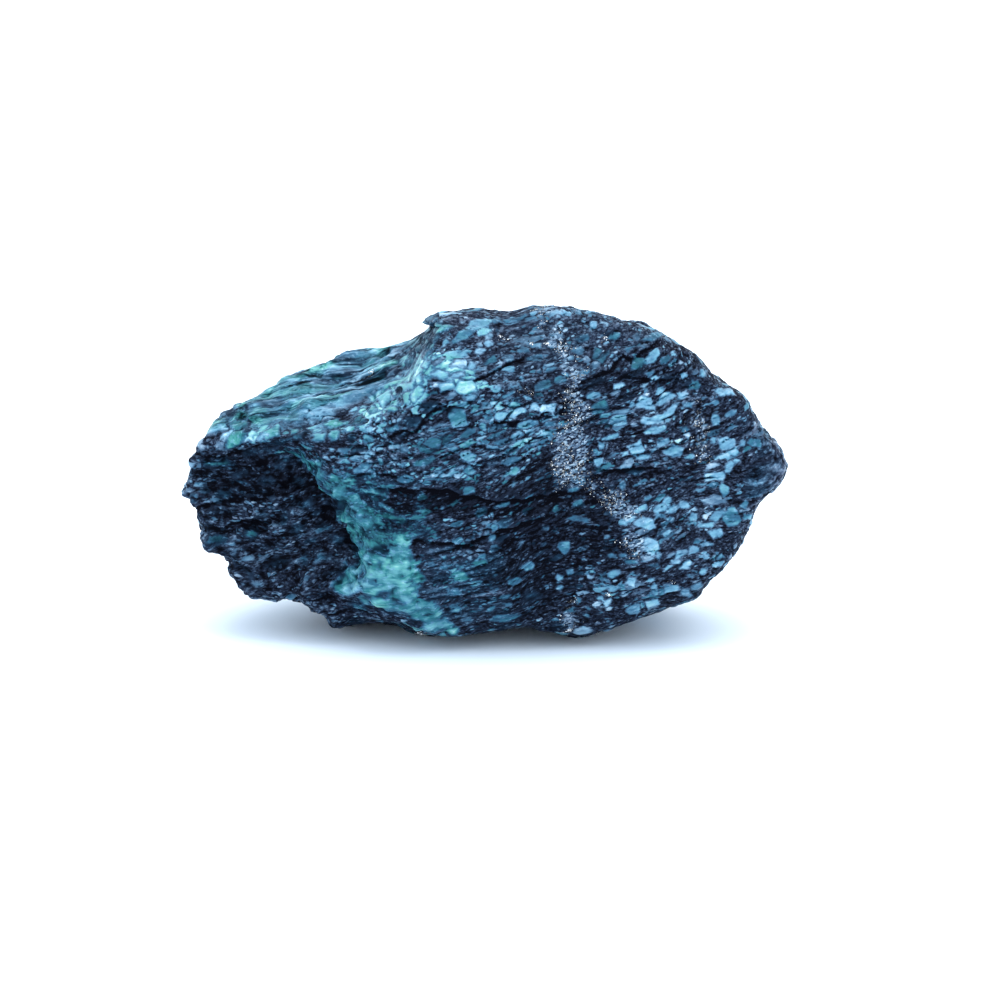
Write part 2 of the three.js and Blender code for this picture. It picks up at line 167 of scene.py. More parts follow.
# Grains that catch the eye on the front: (across, up, length, width) in mm, the turn in degrees, and tone and
# green in hundredths.
FLAT_GRAINS = [
    # The right, above.
    (9.9, 14.7, 1.1, 1.5, 0, 42, 40), (15.2, 14.3, 2.8, 1.1, 42, 68, 20),
    (13.9, 13.9, 1.7, 1.5, 30, 40, 50), (15.1, 12.7, 1.5, 0.8, 35, 52, 0), (12, 11.5, 1.5, 0.7, 18, 76, 0),
    (9.6, 10.6, 1.6, 0.9, 5, 62, 0), (10.1, 9.3, 2.4, 1.4, 25, 38, 40), (12, 8.1, 2, 1.4, 5, 66, 30),
    (13.4, 9.6, 0.9, 0.8, 0, 64, 0), (14.7, 9.7, 2.2, 1.4, -10, 78, 0), (16.8, 10.3, 2.4, 1, 22, 78, 0),
    (17.3, 9.1, 2, 1, 45, 76, 0), (19.1, 9.7, 1.5, 1.2, 10, 60, 0), (15.4, 8.1, 3.1, 0.8, 8, 78, 0),
    (15.7, 7.1, 2.7, 0.8, 14, 70, 20), (11.4, 6.5, 2.7, 0.7, 15, 64, 0), (22.6, 10.8, 1.9, 1, -5, 74, 10),
    (19.6, 11.5, 1.6, 0.8, 25, 46, 40), (20.5, 12.8, 1.2, 1, 0, 62, 10), (21.8, 8.1, 1, 1.3, 0, 64, 0),
    (23.3, 8.7, 1.5, 0.6, 20, 58, 0), (14, 5.2, 2.5, 1.6, 20, 72, 10), (15.4, 5, 1.3, 0.5, 30, 66, 0),
    (14.5, 4.3, 1.6, 0.6, 10, 64, 0), (16.5, 5.8, 1.8, 0.9, 18, 64, 0), (17.7, 4.9, 2.2, 1.4, 10, 68, 10),
    (22.9, 5.7, 2, 1.5, 10, 70, 0), (21.6, 5.9, 0.9, 0.9, 0, 64, 0), (25.9, 5.8, 1.6, 1.1, 0, 52, 30),
    (24.5, 5.8, 0.8, 0.9, 0, 58, 0), (21.7, 2.3, 2.4, 1.5, 10, 82, 10), (23.1, 3.4, 1.9, 0.9, 50, 68, 0),
    (23.9, 3.9, 0.9, 0.6, 0, 68, 0), (9.9, 3.9, 1.2, 1.1, 0, 64, 0), (22.7, 1.1, 0.9, 1.6, 0, 58, 10),
    (12.5, 1.5, 0.8, 1, 0, 50, 0), (10.2, 5.6, 1, 0.9, 0, 56, 0), (8, 1.9, 1.9, 1, 8, 46, 20),
    (7.5, 1, 1.4, 0.6, 10, 42, 0),
    # The right, below.
    (14.3, -0.9, 1.8, 0.8, 25, 74, 20), (14.9, 0.2, 1.1, 0.7, 30, 58, 0), (16.2, -0.8, 2, 0.9, 25, 70, 0),
    (16.9, -0.1, 1.2, 0.9, 50, 70, 0), (17.4, -1, 1.6, 0.9, 45, 66, 0), (18.6, -0.4, 1.4, 0.9, -30, 66, 0),
    (16.2, -1.7, 1.4, 0.6, 5, 56, 0), (17.2, -2, 0.8, 0.6, 0, 58, 0), (14.6, -2.4, 2.4, 1.2, 5, 76, 0),
    (16.9, -3.4, 1.2, 0.8, 40, 68, 0), (15.4, -4.7, 1.9, 1.9, 10, 80, 0), (14, -4.2, 1.2, 0.9, -20, 58, 0),
    (16.1, -5.6, 1, 0.7, 70, 60, 0), (19.5, -1.8, 1, 1.1, 0, 66, 0), (22, -1.5, 1.8, 1, 40, 66, 0),
    (20.8, -2.5, 2, 1, 5, 70, 0), (21.9, -3.4, 1.6, 1.1, 10, 70, 0), (23.4, -1.8, 1.8, 2.2, 30, 54, 40),
    (24.7, -0.5, 1.6, 0.7, 50, 58, 20), (20.9, -4.5, 1.4, 0.7, 0, 68, 0), (19.6, -5, 1.4, 0.9, 25, 76, 0),
    (18.3, -5.6, 1.4, 1.1, 30, 80, 0), (17.7, -6.3, 1.1, 0.6, 0, 78, 0), (18.8, -6.6, 1.6, 0.7, 30, 82, 0),
    (22.2, -5.8, 1, 0.9, 30, 60, 20), (20.6, -7.2, 0.8, 0.7, 30, 66, 0), (19.2, -7.5, 1.1, 0.5, 10, 60, 0),
    (15.6, -6.7, 1.6, 0.6, 5, 52, 0), (11.2, -5.7, 1.1, 0.8, 0, 52, 0), (12.4, -5.6, 1.2, 0.7, 10, 52, 0),
    (13.2, -6.2, 1.8, 0.6, 5, 46, 10), (10.7, -3.7, 1, 0.6, 15, 58, 0), (11.6, -7.4, 1.6, 0.9, 10, 58, 0),
    (13.3, -8.3, 1.9, 1, -5, 84, 10), (10.8, -8.2, 1.2, 0.4, 5, 56, 0), (15.6, -9, 0.8, 1.2, 0, 64, 0),
    (17.1, -8.9, 1.9, 0.9, 12, 68, 0), (18.8, -9.1, 1.2, 0.8, 20, 64, 0), (19.8, -8.5, 1.2, 0.6, 15, 58, 0),
    (10.1, -9.9, 1, 0.8, 0, 68, 0), (10.9, -10.4, 0.9, 1.2, -40, 86, 10),
    (13.5, -11.2, 1.8, 1.1, 25, 62, 0), (15.3, -10.6, 2.1, 1.2, 20, 74, 0),
    # The middle, below.
    (6.6, -4.8, 1.7, 1.6, 0, 48, 10), (2.8, -6.6, 1.5, 1, 5, 56, 10), (7.1, -7.4, 1, 1, 0, 56, 0),
    (6, -7.9, 0.9, 0.8, 0, 62, 0), (6.1, -8.8, 1, 0.7, 0, 62, 0), (7.9, -10.2, 0.8, 0.9, 60, 52, 0),
    (8.9, -11, 0.8, 0.6, 0, 50, 0), (8.7, -11.8, 0.7, 0.6, 0, 50, 0), (4.6, -2.7, 1, 0.7, 0, 42, 0),
    (4.4, -4.5, 0.9, 0.6, 30, 36, 0), (1.5, -8.2, 1.6, 1, 20, 38, 0), (8, -0.4, 1.6, 0.9, 5, 38, 30),
    (8, -1.9, 2.2, 0.8, 0, 42, 0), (0.6, -11.9, 3.4, 1, 15, 42, 10), (0.8, -10.5, 1.6, 0.6, -10, 52, 0),
    (-0.9, -11, 1.6, 0.6, 25, 46, 0), (-5.8, -0.8, 0.7, 0.5, 0, 52, 0), (-3.1, 0.9, 1.5, 1.2, 0, 42, 30),
    (-1.8, -1.3, 1.4, 1, 20, 26, 40), (-4.3, -4.1, 1.4, 0.7, 0, 46, 10), (-7.2, -4.1, 1, 0.5, 10, 46, 30),
    (-0.6, -2.8, 1, 0.8, 0, 46, 0), (-0.8, -3.8, 1, 0.8, 20, 50, 0), (0.4, -0.5, 2, 0.9, 10, 30, 0),
    # The middle, above.
    (-4.2, 8.3, 2.5, 2.4, 70, 54, 30), (-3.2, 6.7, 2.2, 0.9, 20, 44, 20), (-1.7, 7.4, 1, 1.1, 0, 56, 30),
    (1.6, 8.9, 2.2, 1.2, 20, 74, 20), (0.2, 8.5, 1.6, 1, 10, 68, 20), (3.3, 9.5, 0.9, 1.1, 0, 80, 0),
    (4.8, 9.3, 2, 1.1, 15, 84, 0), (2.7, 7.7, 2.3, 1.1, 15, 60, 20), (1.7, 6.4, 2, 0.8, 20, 58, 0),
    (5.1, 7.7, 1.6, 0.7, 15, 52, 0), (-0.3, 6.6, 2.2, 0.7, 25, 38, 30), (-1.4, 9.6, 1.3, 0.9, 10, 64, 0),
    (0.9, 10.7, 2, 0.6, 35, 46, 0), (0.9, 13.2, 1.5, 0.9, 0, 60, 10), (5.2, 13.2, 1.8, 0.6, 25, 46, 0),
    (8.2, 12.8, 2.3, 0.6, 8, 54, 10), (4.5, 11.6, 1.8, 1.2, 25, 40, 10), (-6.6, 5.7, 2.6, 1.1, -10, 40, 20),
    (-7.6, 3.9, 2.6, 0.9, 15, 44, 30), (-9.7, 2.1, 2, 0.9, -5, 46, 20), (-6.2, 2.1, 2.8, 0.8, 3, 46, 30),
    (-4.6, 5, 1.4, 0.7, 0, 50, 30), (-3.2, 4.4, 1.8, 1, -15, 60, 30), (-3.1, 3, 1.6, 1.1, -45, 56, 30),
    (1, 4.9, 2.2, 0.6, 15, 44, 10), (1.2, 3.9, 2, 0.9, 10, 46, 10), (3.5, 5.7, 2.2, 0.8, 15, 44, 10),
    (0.3, 5.8, 2.2, 0.7, 12, 42, 0), (-13.8, 3.3, 2.5, 0.8, 20, 54, 10), (-13.5, 6.2, 1.6, 1, 0, 48, 30),
    # The top.
    (-2.2, 17.7, 3.2, 1.2, 20, 68, 30), (-1.6, 17.1, 1.6, 0.8, 20, 68, 50),
    (1.6, 18.5, 2.6, 0.8, 8, 54, 30), (-0.3, 18.3, 1, 1.1, 0, 48, 10), (-3.8, 16.5, 2.6, 1.1, 30, 52, 20),
    (-5.4, 15.9, 1.2, 0.9, 50, 56, 20), (-1.2, 15.9, 1, 0.8, 0, 76, 0), (-2, 15.1, 1.3, 0.7, 10, 84, 0),
    (-0.9, 14.2, 2.4, 0.7, 25, 46, 40), (2.3, 15.2, 1.2, 0.9, 0, 48, 0), (3.6, 14.3, 2.2, 0.9, 10, 38, 0),
    (5.8, 16.6, 1.8, 0.8, 10, 46, 0), (8.3, 16.3, 1.8, 0.8, 10, 38, 10), (11.5, 16.6, 1.5, 0.6, 20, 36, 20),
    (10.4, 14.6, 1.8, 1.2, 40, 38, 20), (15.4, 16.4, 2.2, 0.9, 15, 46, 10), (6, 12.2, 1.4, 1, 0, 44, 10),
]
PATCHES = [
    # The hollow; two pale patches low on the left are partly pale crystals and partly painted glints.
    (-28.3, 3.6, 3.4, 1.3, 0, 30, 90), (-26.2, 2.6, 1.6, 0.8, 10, 32, 0), (-23.7, 1.9, 1.8, 0.9, 0, 30, 0),
    (-28, 0.6, 2.2, 0.8, 10, 28, 70), (-24, -1.4, 1, 0.7, 0, 38, 0), (-21.8, -1.8, 1.2, 1.6, 0, 32, 0),
    (-19.4, -0.4, 1.8, 1.4, 0, 32, 10), (-25.2, -3.4, 1.8, 1.1, 20, 38, 100),
    (-28.4, -3.9, 1.8, 1, 0, 28, 100), (-18, -5.8, 2.2, 1.3, 0, 38, 10), (-19.8, -6, 1.2, 1.6, 0, 30, 0),
    (-20.5, -3, 1.8, 1.4, 20, 32, 10), (-20.6, 2, 1.6, 1, -20, 34, 20), (-18, -2.8, 1.6, 1.2, 10, 34, 10),
    (-16.4, -4, 1.4, 1.2, 0, 32, 0), (-25.4, 4.6, 2.6, 0.7, 5, 40, 0), (-23.2, 4.9, 1.8, 0.6, 8, 42, 20),
    (-21.7, 4.2, 1.3, 0.8, -10, 46, 40), (-22.4, 3.4, 1.4, 0.8, -10, 34, 20),
    (-26.9, -5.3, 1.2, 0.7, 30, 60, -30), (-24.7, -8.3, 1.2, 0.9, 0, 62, -30),
    (-25.2, -7.5, 1, 0.8, 0, 46, 0),
    # The cracks in the hollow, near black: painted shade in them over the dark matrix.
    (-29.3, 2.5, 3, 0.5, 5, 2, -50), (-24.8, 0.6, 3.6, 0.6, 8, 2, -50), (-28.2, -1.2, 3.2, 0.6, 5, 4, -50),
    (-29.6, -2.8, 1.4, 0.6, 0, 2, -50), (-22.3, -6.3, 3, 1.2, 10, 3, -50),
    (-16.6, -7.5, 3.4, 0.8, 15, 2, -50), (-16.7, -0.7, 1.8, 0.9, -30, 2, -50),
    (-26.2, -6.9, 1.6, 0.6, -20, 6, -50), (-23, -4.4, 3.2, 0.5, 12, 4, -50),
    # The slope; its palest satin bands are partly painted sheen.
    (-20, 11, 6.8, 1, 11, 56, 70), (-24.6, 10.3, 2.4, 1.3, 28, 46, 60), (-23, 9.6, 3.6, 0.8, 8, 20, -80),
    (-15.4, 12.9, 1.6, 0.8, 12, 26, -80), (-18.6, 12, 1.3, 0.9, 20, 66, -60),
    (-17.6, 12.5, 1, 0.7, 20, 68, -60), (-13.3, 14.5, 4, 1, 2, 48, 30),
    (-15.3, 10.2, 8.6, 1.2, 27, 62, -10), (-17.6, 8.8, 3.8, 1, 20, 84, 10), (-22, 8.6, 4, 0.7, 14, 42, 40),
    (-16.4, 11.7, 2.6, 0.9, 16, 52, 50), (-27.5, 8.5, 2.2, 1.4, 25, 26, -70),
    # Painted shade under the ledges, above on the right.
    (9.6, 11.9, 3.4, 0.9, 28, 6, -50), (13.4, 12.6, 3, 0.8, 15, 6, -50), (17.4, 12.3, 2.4, 0.9, -5, 8, -50),
    (12.6, 10.4, 2, 0.8, 10, 8, -50), (19, 11.9, 1.6, 0.8, 20, 10, -50),
    # The bottom.
    (3.4, -9.8, 2.4, 1.6, 20, 18, -30), (0.6, -13, 2, 0.8, 10, 18, -30), (6.2, -12.8, 2.2, 0.8, 0, 12, -30),
    (-14.4, -12.4, 2.4, 1, 0, 16, 0),
]
CHUNKS = [
    # The brink of the hollow.
    (-18.1, 2.6, 2, 1.3, -40, 52, 70), (-16.3, 0.8, 2.2, 1.2, -30, 48, 70),
    (-15.2, -0.8, 2, 1.2, -20, 48, 60), (-13.8, -2.2, 2.5, 1.6, -20, 50, 60),
    (-12.2, -3.5, 3, 1, 0, 42, 90), (-13.9, -4.6, 1.4, 1, 0, 56, 30), (-13.6, -6.4, 0.9, 2.6, -20, 62, 60),
    (-15.1, -8.9, 2.6, 1.5, 22, 76, 60), (-19.9, 3.8, 1.8, 0.8, -15, 46, 50),
    (-13.8, -8.3, 2, 1.6, 0, 62, 50), (-14.4, -7, 1.4, 1.6, -20, 66, 60),
    # The pale patch.
    (-10.2, -5.2, 2.2, 1.6, 10, 60, 80), (-10.1, -7, 3, 1.6, 25, 64, 110), (-12.2, -7.9, 2, 1.4, 0, 52, 60),
    (-11, -8.8, 1.8, 0.9, 0, 70, 20), (-9.4, -10, 2.2, 0.9, -35, 58, 40),
    (-8.2, -10.9, 3.2, 1.3, 15, 54, 60), (-6.5, -12.5, 3, 2, 10, 56, 50),
    (-14.2, -10.7, 2.2, 1, -20, 42, 60), (-11, -11.2, 1.6, 0.8, 10, 46, 10),
    (-3.3, -12.1, 1.6, 0.9, 15, 58, 20), (-4.5, -11, 1.6, 1.2, 30, 46, 20),
    (-4.6, -9.4, 1.6, 0.8, 0, 54, 40),
]
FLAKES = [
    # The lip and the step below it.
    (-6.9, 18.3, 2.2, 0.9, 8, 36, 0), (-7.5, 17.9, 0.9, 0.7, 0, 42, 30), (-6.1, 17.3, 2.6, 1, 5, 50, 80),
    (-7.6, 16.6, 1, 1.1, 0, 30, 50), (-6.6, 16.4, 1.3, 0.8, 20, 34, 20), (-8.2, 15.4, 1.2, 0.8, 25, 38, 50),
    (-9.4, 15.2, 1.2, 0.7, 20, 40, 10), (-7.4, 14.7, 1.3, 0.8, 35, 44, 40),
    (-9, 14.1, 1.4, 0.9, 30, 46, 70), (-10.2, 14.7, 1.4, 0.8, 20, 34, -30),
    (-10.9, 13, 1.6, 0.7, 25, 40, -60), (-9.6, 13, 1.3, 0.7, 30, 62, 40),
    # The crest, right; its grey-white flakes are partly painted highlights.
    (-4.1, 13.8, 2.6, 1, 5, 88, -20), (-2.8, 13.7, 1.2, 1, 0, 64, -10), (-6.1, 14.1, 1.5, 0.5, 35, 60, -30),
    (-7.6, 13.7, 1.1, 1.1, 45, 74, 80), (-6, 12.7, 2, 1.2, 10, 74, 60), (-4.3, 12.6, 1.6, 0.8, 15, 76, 20),
    (-5.6, 11.4, 2, 1.2, 10, 82, 70), (-3.4, 11.3, 2.3, 1.7, 15, 80, 100),
    (-6.5, 11.6, 0.7, 0.6, 0, 96, -20), (-8.1, 12.2, 1.7, 1.1, 25, 80, 90),
    (-9.5, 11.5, 2.2, 1, 18, 78, 90), (-8.5, 10.7, 1.9, 1.1, 60, 76, 110),
    (-11.6, 10.3, 2.2, 1.2, 28, 74, 70), (-11.1, 9.1, 1.6, 0.8, 12, 62, 120),
    (-3, 10.2, 1.6, 0.8, 0, 66, 10), (-12.9, 9.1, 1.4, 0.7, 22, 56, 90), (-6.9, 9.5, 2.4, 1.1, 10, 14, 0),
    (-8.8, 7.9, 2, 1.3, 15, 24, 0), (-10.7, 7.3, 2, 0.9, 20, 40, 40), (-9.7, 6.6, 1.2, 0.6, 10, 6, 0),
    (-10.1, 11.1, 0.7, 0.5, 20, 4, 0),
    # The crest, left: painted highlights as two pale streaks by the green lens, and near-black gaps that are
    # partly painted shade.
    (-26.2, 7.3, 2.6, 1.3, 22, 42, 70), (-26.6, 6.1, 2.7, 1.3, 30, 46, 130),
    (-27.4, 6.4, 1.8, 0.5, 36, 95, 30), (-23.2, 6.8, 3, 1.2, 25, 58, 100), (-24, 6.4, 1.6, 0.6, 25, 78, 30),
    (-22.1, 5.9, 2.8, 0.7, 18, 10, 0), (-20.8, 7.1, 1.6, 0.8, 5, 46, 90), (-20.5, 6.3, 1.5, 1.1, 0, 28, 10),
    (-19.6, 6.9, 0.8, 1, 0, 3, 0), (-18.2, 6.5, 1.8, 1.5, 0, 62, 60), (-16.7, 6.6, 1.5, 1.3, 5, 58, 90),
    (-16.5, 7.7, 2.6, 0.7, 8, 52, 120), (-15, 6.4, 1, 1.3, 0, 8, 0), (-14.3, 8, 1.6, 1.1, 20, 32, 40),
    (-17.3, 8.2, 1.3, 0.4, 15, 80, 0), (-19, 7.8, 1.3, 0.4, 15, 72, 20), (-14.4, 5, 2, 0.7, 15, 12, 0),
]
SHADES = [
    # Dark gaps between the pale patch's lumps, partly painted shade.
    (-12.1, -5.1, 1.6, 0.9, -20, 10, 40), (-12.1, -6.4, 0.8, 1.7, -10, 38, 30),
    (-12.9, -8.2, 1, 0.8, 0, 40, 20), (-11.8, -9.5, 2, 0.9, 10, 30, -30),
    (-13.5, -10, 1.8, 0.8, 0, 18, -50), (-8.1, -9.2, 1.8, 0.5, 5, 16, -20),
    (-10.3, -10.4, 1.8, 0.7, -10, 22, -20), (-8.7, -12.3, 1.8, 0.8, 0, 18, -20),
    (-7.4, -11.6, 1.8, 0.5, 15, 14, 0), (-9, -5.9, 0.7, 1, 0, 36, 20), (-11, -6, 0.5, 0.9, 10, 34, 30),
]
# Each group's height in mm, how sharp its grains' edges are, and how dark the seams round them.
PLACED = (
    (0.06, 1.0, 0.65, FLAT_GRAINS),
    (0.05, 0.3, 0.0, PATCHES),
    (0.15, 0.3, 0.1, CHUNKS),
    (0.15, 0.55, 0.7, FLAKES),
    (-0.05, 0.4, 0.0, SHADES),
)

# Ledges and cracks of the front, each along a line from left to right, with its height in mm.
LEDGES = [
    (0.40, [(-10.5, 1.2), (-5, 0.8), (0.5, -0.3), (3, 0.3), (6, 0.9)]),
    (0.30, [(-8, -4), (-3, -4.5), (0.5, -3), (4, -2)]),
    (0.30, [(-2.2, 12.6), (-0.1, 13.4), (2, 14.5)]),
    (0.30, [(7.2, 11.5), (9, 12.2), (12.4, 14.4), (15.2, 15.4)]),
    (0.20, [(10.8, 3.2), (16, 3.4)]),
    (0.20, [(12.2, 12.9), (15, 12.1), (17.8, 12.4)]),
    (0.18, [(-0.4, 7.8), (1.2, 7.9), (3.8, 8.5), (5.3, 9.1), (6.4, 9.8)]),
    (0.30, [(-28.6, 4.5), (-26.5, 4.9), (-25, 5.3)]),
    (0.30, [(-11, 6.7), (-9, 7.0), (-7.2, 8.6), (-5.3, 9.7)]),
    (0.20, [(-30.5, -0.6), (-26, 0.3), (-23, 0.8)]),
    (0.20, [(-30.2, -2.6), (-27, -2.4), (-25, -2.2)]),
]

# Lips of the skyline: (across, up of the lower edge, reach, push to the right above it and below it), in mm.
LIPS = [(-7.6, 17.7, 1.6, -0.2, 0.7)]

# Where the surface swells or sinks a little: (across, up, reach, height), in mm.
SWELLS = [
    (-28.5, 8.6, 2.6, 0.8), (24.8, 10.2, 2.6, 0.5), (17.2, 16.6, 2, 0.3), (0.8, 19.2, 2.2, -0.5),
    (-29.6, -4.9, 1.4, 0.8), (19.6, -9.4, 1.8, 0.5),
]

# White glints of clear grains: (across, up).
GLINTS = [
    (0.1, 16.6), (0.4, 16.5), (4.8, 15.7), (10.7, 16.3), (3.2, 15.8), (2.3, 11), (2.9, 10.9), (-13, 13),
    (11, -9.6), (17.4, -8.4), (6.9, -13.4), (-8.1, -13.5), (7.6, -10.3),
]

# The areas' edges: how soft, how ragged, and how large the ragged teeth are, in mm.
OUTLINE_EDGE = (0.8, 0.9, 1.6)
BAND_EDGE = (0.7, 1.0, 1.6)
WALL_SOFT = 0.5
# From where, and from where in full, a face counts as front, as back, and as top or left side, as cosines.
FRONT_TURN = (-0.35, -0.05)
BACK_TURN = (0.1, 0.5)
SIDE_TURN = (0.3, 0.6)
# Where the photo shows nothing, these areas' looks lie in layered patches.
HIDDEN = ("packed", "shaded", "cluster", "teal", "striated", "upper")
HIDDEN_SIZES = (3.6, 1.7)
HIDDEN_STRETCH = (0.45, 0.6, 1.0)
HIDDEN_EDGE = (0.1, 0.5)

# How far each kind of relief stands out, in mm: everywhere, and more or less in some areas.
RELIEF = {
    "coarse": {"all": 0.12, "rough": -0.1, "packed": 0.1},
    "fine": {"all": 0.07, "rough": -0.06, "packed": 0.06},
    "streaks": {"all": 0.03, "slope": 0.2, "striated": 0.1, "upper": 0.05, "rough": 0.04},
    "lumps": {"all": 0.12, "back": 0.3, "slope": 0.15},
    "clods": {"hollow": 0.5, "crust": 0.35, "crest": 0.2, "step": 0.2},
    "sheets": {"all": 0.2, "crest": 0.15, "slope": -0.1, "shaded": -0.15, "hollow": -0.1, "crust": -0.15},
    "slabs": {"hollow": 0.1},
}
RELIEF_MEAN = 0.05
CREST_ROUGH = 0.3
WALL_CALM = 0.7
# The relief's sizes in mm, and its scale along, across and through the foliation: less is longer.
COARSE_SIZE, COARSE_STRETCH = 2.2, (0.6, 0.8, 1.0)
FINE_SIZE, FINE_STRETCH = 0.85, (0.7, 0.9, 1.1)
STREAK_SIZES, STREAK_STRETCH = (0.8, 0.4), (0.25, 0.8, 1.4)
LUMP_SIZE, CLOD_SIZES = 3.0, (1.6, 0.7)
SHEET_SPACING, SLAB_SPACING = 1.5, 2.6
SHEET_STRETCH, SHEET_PATCHES = (0.25, 0.25, 0.5), 3.5
# Split sheets: the noise that shows them, and how far they wander and round off, as shares of their spacing.
SHEET_SHOW = (-0.2, 0.3)
SHEET_WANDER, SHEET_LIP, SHEET_MEAN = 0.8, 0.12, 0.4
# A point that stands out from its neighbours by this share of the grid is as convex as can be.
FULLY_CONVEX = 0.25

# How the foliation folds and how edges wander: over which distance and how far, in mm.
FOLD = (7.0, 0.9)
HIDDEN_WANDER = (5.0, 2.0)
LEDGE_WANDER = (1.2, 0.4)
LIP_WANDER = (1.0, 0.3)
PLACED_WANDER = (0.8, 0.14)

# Ledges: how far they rise above their lines and sink below, as shares of their heights, how far that reaches
# and how sharp the edge is, in mm, and how dark the painted shade close below them is.
LEDGE_RISE, LEDGE_SINK = 0.65, 0.52
LEDGE_ABOVE, LEDGE_BELOW = 1.5, 0.7
LEDGE_EDGE = 0.1
LEDGE_PAINTED_SHADE = 0.7
LEDGE_UNDER = (0.3, 0.8)
# How far below a lip's lower edge its undercut reaches, and how sharp the edge is, in mm.
LIP_BELOW = 1.2
LIP_EDGE = 0.15

# Placed grains, by the depth inside them in mm: where scattered ones fade in beside them, where they rise.
PLACED_GAP = (-0.02, -0.10)
PLACED_SHOULDER = (-0.05, 0.2)
# The shares of grains change in bands along the foliation.
BANDING_SIZES = (1.1, 2.6)
BANDING_STRETCH = (0.3, 0.4, 1.0)
BANDING = {"second": 0.6, "strength": 0.9, "limits": (0.1, 2)}

# Scattered grains by size: cell size and height in mm, the seam between them and the reach of the roundest as
# shares of the cell size, and a shift that keeps the layers' cells apart.
GRAIN_LAYERS = {
    "large": {"size": 1.7, "seam": 0.05, "reach": 0.56, "height": 0.08, "shift": 0.0},
    "medium": {"size": 0.9, "seam": 0.06, "reach": 0.56, "height": 0.06, "shift": 3.7},
    "small": {"size": 0.4, "seam": 0.07, "reach": 0.58, "height": 0.03, "shift": 8.1},
}
# Their edges wander by this much over this distance, in mm. Angular ones reach further than round ones.
RAGGED = {"size": 0.5, "reach": 0.34}
ANGULAR = {"reach": 0.35, "soft": 0.25}
# The seams between them widen and close, as a share of the grains' size, and soften over so many seams.
SEAM = {"change": 0.5, "soft": 4.4}

# Colours from dark to pale, for grains that lean to grey, blue and green, and for metal.
GREYS = [(0.0, "07060b"), (0.25, "222939"), (0.5, "515f74"), (0.75, "909baa"), (1.0, "d0d2d6")]
BLUES = [(0.0, "04080f"), (0.25, "152a3c"), (0.5, "2b5a74"), (0.75, "6795ad"), (1.0, "a8c2cb")]
GREENS = [(0.0, "030d10"), (0.25, "0c383e"), (0.5, "22706c"), (0.75, "60a69a"), (1.0, "badaca")]
METALS = [(0.0, "353330"), (0.45, "777470"), (0.75, "c4c2bd"), (1.0, "ffffff")]
# Hues from grey at -1 over blue to green at 1.
MATRIX_HUE = -0.9
VEIN_HUE = -0.7
# The single pale specks are partly the stone's own and partly painted glints.
FLECK_AND_GLINT_HUE = -0.5
# Noises of the paint: scale along, across and through the foliation or none, size in mm, detail, roughness.
TEXTURES = {
    "mottle": (None, 0.3, 4, 0.65),
    "clods": (None, 1.1, 2, 0.5),
    "drift": (None, 2.4, 2, 0.5),
    "streaks": ((0.08, 0.75, 0.7), 0.5, 4, 0.6),
    "sweeps": ((0.15, 0.5, 0.8), 1.3, 2, 0.5),
    "fibres": ((0.8, 0.9, 0.9), 0.22, 3, 0.7),
}
SPECK_SIZE = 0.2
BUMP_STRENGTH = 0.55
GLOSS_TINT = (0.6, 0.8, 1.0, 1)

# Metallic and clear grains: sizes in mm, how far their middles stand out as a share of that, and how uneven.
METAL_GRAINS = {
    "count": 2200, "smallest": 0.04, "largest": 0.11, "rise": 0.2, "uneven": (0.6, 1.2), "seed": 5,
}
METAL = {"Metallic": 1.0, "Roughness": 0.25}
OCTAHEDRON = [(0, 1, 2), (1, 3, 2), (3, 4, 2), (4, 0, 2), (1, 0, 5), (3, 1, 5), (4, 3, 5), (0, 4, 5)]
# They lie in clumps, sizes in mm, and thickest at the glints, where they are clear.
CLUMP_SIZE, CLUMP_EDGE = 0.9, (-0.3, 0.5)
GLINT = {"thickness": 4, "spread": 0.03, "clear_from": 1.2}


def smooth(low, high, value):
    """0 below low, 1 above high, and an S curve between."""
    t = np.clip((value - low) / (high - low), 0, 1)
    return t * t * (3 - 2 * t)


def lerp(a, b, share):
    return a + (b - a) * share


def unit(vector):
    return vector / np.linalg.norm(vector)


def scattered(cells, seed):
    """A repeatable random number from 0 to 1 for each whole-numbered cell."""
    x, y, z = (cells[:, i].astype(np.int64).astype(np.uint32) for i in range(3))
    mixed = x * np.uint32(0x8DA6B343) ^ y * np.uint32(0xD8163841) ^ z * np.uint32(0xCB1AB31F)
    mixed ^= np.uint32(seed * 0x9E3779B9 & 0xFFFFFFFF)
    for shift, factor in ((15, 0x2C1B3C6D), (12, 0x297A2D39), (15, 1)):
        mixed ^= mixed >> np.uint32(shift)
        mixed *= np.uint32(factor)
    return mixed / 2.0**32


def noise(points, size, seed):
    """Smooth noise from -1 to 1, with lumps about size across. Each seed, a whole number, gives its own."""
    place = points / size
    low = np.floor(place)
    t = place - low
    t = t * t * t * (t * (6 * t - 15) + 10)
    total = np.zeros(len(points))
    for corner in product((0, 1), repeat=3):
        weight = np.prod(np.where(corner, t, 1 - t), axis=1)
        total += weight * scattered(low + corner, seed)
    return 2 * total - 1


def two_noises(points, sizes, seeds, share=0.5):
    """A noise with a share of a second one."""
    return noise(points, sizes[0], seeds[0]) + share * noise(points, sizes[1], seeds[1])


def noises(points, size, reach, seeds):
    """A noise of this size and reach for each seed, side by side."""
    return reach * np.stack([noise(points, size, seed) for seed in seeds], axis=1)


